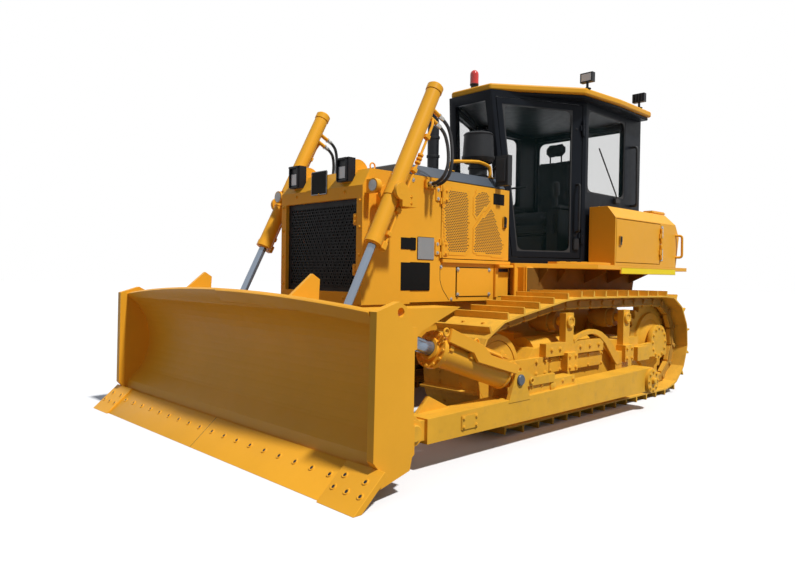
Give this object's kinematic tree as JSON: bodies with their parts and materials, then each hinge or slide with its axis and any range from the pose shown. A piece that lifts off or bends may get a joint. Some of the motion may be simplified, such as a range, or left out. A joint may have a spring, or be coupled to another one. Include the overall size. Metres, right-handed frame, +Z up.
{
  "type": "bulldozer",
  "caption": "Medium crawler dozer: straight tilt blade on outside push arms, twin front lift cylinders, six-sided glazed cab, steel tracks.",
  "frame": {"origin": "on the ground, under the middle of the overall box", "axes": "+X forward to the blade, +Y to the machine's left, +Z up"},
  "size_m": [5.4661, 3.388, 3.13],
  "materials": {
    "yellow": "gloss machine enamel",
    "black": "satin black paint",
    "dark_grey": "satin dark grey paint",
    "core": "painted casting",
    "chrome": "hard chrome",
    "glass": "clear cab glass",
    "seat": "woven seat cover",
    "plastic": "grained plastic",
    "red": "clear red plastic",
    "hose": "smooth rubber"
  },
  "bodies": {
    "chassis": {"main_frame": "yellow", "engine_block": "core", "radiator_guard": "yellow", "grille": "black", "radiator_core": "core", "hood_panels": "yellow", "hood_top": "dark_grey", "front_lamps": "black", "exhaust_stack": "black", "precleaner": "black", "hood_rail": "yellow", "track_left": "yellow", "track_right": "yellow", "track_frames": "yellow", "track_rollers": "yellow", "carrier_rollers": "yellow", "idlers": "yellow", "sprockets": "yellow", "final_drives": "yellow", "platform": "yellow", "cab_frame": "black", "cab_roof": "yellow", "cab_glass": "glass", "seat": "seat", "console": "plastic", "roof_lamps": "black", "beacon": "red", "mirrors": "black", "side_boxes": "yellow", "fuel_tank": "yellow", "drawbar": "yellow", "hose_left_upper": "hose", "hose_left_lower": "hose", "hose_right_upper": "hose", "hose_right_lower": "hose"},
    "lift_carrier": {"trunnion_caps": "yellow"},
    "left_push_arm": {"left_arm": "yellow"},
    "right_push_arm": {"right_arm": "yellow"},
    "blade": {"moldboard": "yellow", "cutting_edge": "yellow", "brace": "yellow"},
    "tilt_cylinder_barrel": {"tilt_barrel": "yellow"},
    "tilt_cylinder_rod": {"tilt_rod": "chrome"},
    "left_lift_barrel": {"lift_barrel_left": "yellow"},
    "right_lift_barrel": {"lift_barrel_right": "yellow"},
    "left_lift_rod": {"lift_rod_left": "chrome"},
    "right_lift_rod": {"lift_rod_right": "chrome"},
    "left_cab_door": {"cab_door_left": "black", "door_glass_left": "glass"},
    "right_cab_door": {"cab_door_right": "black", "door_glass_right": "glass"},
    "left_hood_door": {"hood_door_left": "yellow"},
    "right_hood_door": {"hood_door_right": "yellow"},
    "left_box_door": {"box_door_left": "yellow"},
    "right_box_door": {"box_door_right": "yellow"}
  },
  "joints": [
    {"name": "blade_lift", "type": "hinge", "parent": "chassis", "child": "lift_carrier", "pos_m": [-0.9, 0, 0.262], "axis": [0, -1, 0], "range_deg": [-8, 16]},
    {"name": "blade_tilt", "type": "hinge", "parent": "lift_carrier", "child": "blade", "pos_m": [2.092, 0, 0.262], "axis": [0.9104, 0.4138, 0], "range_deg": [-4.4, 4.4]},
    {"name": "left_arm_swing", "type": "hinge", "parent": "lift_carrier", "child": "left_push_arm", "pos_m": [-0.9, 1.36, 0.262], "axis": [0, -1, 0], "range_deg": [-1.82, 1.82]},
    {"name": "right_arm_swing", "type": "hinge", "parent": "lift_carrier", "child": "right_push_arm", "pos_m": [-0.9, -1.36, 0.262], "axis": [0, -1, 0], "range_deg": [-1.82, 1.82]},
    {"name": "tilt_barrel_swing", "type": "hinge", "parent": "left_push_arm", "child": "tilt_cylinder_barrel", "pos_m": [1.054, 1.36, 0.462], "axis": [0.2792, 0.4075, -0.8695], "range_deg": [-2.07, 2.07]},
    {"name": "tilt_rod_slide", "type": "slide", "parent": "tilt_cylinder_barrel", "child": "tilt_cylinder_rod", "axis": [0.9521, 0, 0.3057], "range_m": [-0.03234, 0.03234]},
    {"name": "left_lift_barrel_swing", "type": "hinge", "parent": "chassis", "child": "left_lift_barrel", "pos_m": [1.538, 0.681, 1.745], "axis": [0, -1, 0], "range_deg": [-7.86, 15.7], "deforming": ["hose_left_upper", "hose_left_lower"]},
    {"name": "left_lift_rod_slide", "type": "slide", "parent": "left_lift_barrel", "child": "left_lift_rod", "axis": [0.4536, 0, -0.8912], "range_m": [-0.79466, 0.39792]},
    {"name": "right_lift_barrel_swing", "type": "hinge", "parent": "chassis", "child": "right_lift_barrel", "pos_m": [1.538, -0.681, 1.745], "axis": [0, -1, 0], "range_deg": [-7.86, 15.7], "deforming": ["hose_right_upper", "hose_right_lower"]},
    {"name": "right_lift_rod_slide", "type": "slide", "parent": "right_lift_barrel", "child": "right_lift_rod", "axis": [0.4536, 0, -0.8912], "range_m": [-0.79466, 0.39792]},
    {"name": "left_cab_door_hinge", "type": "hinge", "parent": "chassis", "child": "left_cab_door", "pos_m": [-0.95659, 0.69917, 2], "axis": [0, 0, 1], "range_deg": [0, 90]},
    {"name": "left_hood_door_hinge", "type": "hinge", "parent": "chassis", "child": "left_hood_door", "pos_m": [0.8305, 0.514, 1.6], "axis": [0, 0, -1], "range_deg": [0, 95]},
    {"name": "left_box_door_hinge", "type": "hinge", "parent": "chassis", "child": "left_box_door", "pos_m": [-1.9655, 1.032, 1.53], "axis": [0, 0, 1], "range_deg": [0, 100]},
    {"name": "right_cab_door_hinge", "type": "hinge", "parent": "chassis", "child": "right_cab_door", "pos_m": [-0.95659, -0.69917, 2], "axis": [0, 0, -1], "range_deg": [0, 90]},
    {"name": "right_hood_door_hinge", "type": "hinge", "parent": "chassis", "child": "right_hood_door", "pos_m": [0.8305, -0.514, 1.6], "axis": [0, 0, 1], "range_deg": [0, 95]},
    {"name": "right_box_door_hinge", "type": "hinge", "parent": "chassis", "child": "right_box_door", "pos_m": [-1.9655, -1.032, 1.53], "axis": [0, 0, -1], "range_deg": [0, 100]}
  ],
  "couplings": [
    {"joint": "left_arm_swing", "follows": "blade_tilt", "ratio": 0.4138},
    {"joint": "right_arm_swing", "follows": "blade_tilt", "ratio": -0.4138},
    {"joint": "tilt_barrel_swing", "follows": "blade_tilt", "ratio": 0.46998},
    {"joint": "tilt_rod_slide", "follows": "blade_tilt", "m_per_rad": 0.42028},
    {"joint": "left_lift_barrel_swing", "follows": "blade_lift", "ratio": 0.98},
    {"joint": "left_lift_rod_slide", "follows": "blade_lift", "m_per_rad": -2.8414},
    {"joint": "right_lift_barrel_swing", "follows": "blade_lift", "ratio": 0.98},
    {"joint": "right_lift_rod_slide", "follows": "blade_lift", "m_per_rad": -2.8414}
  ]
}
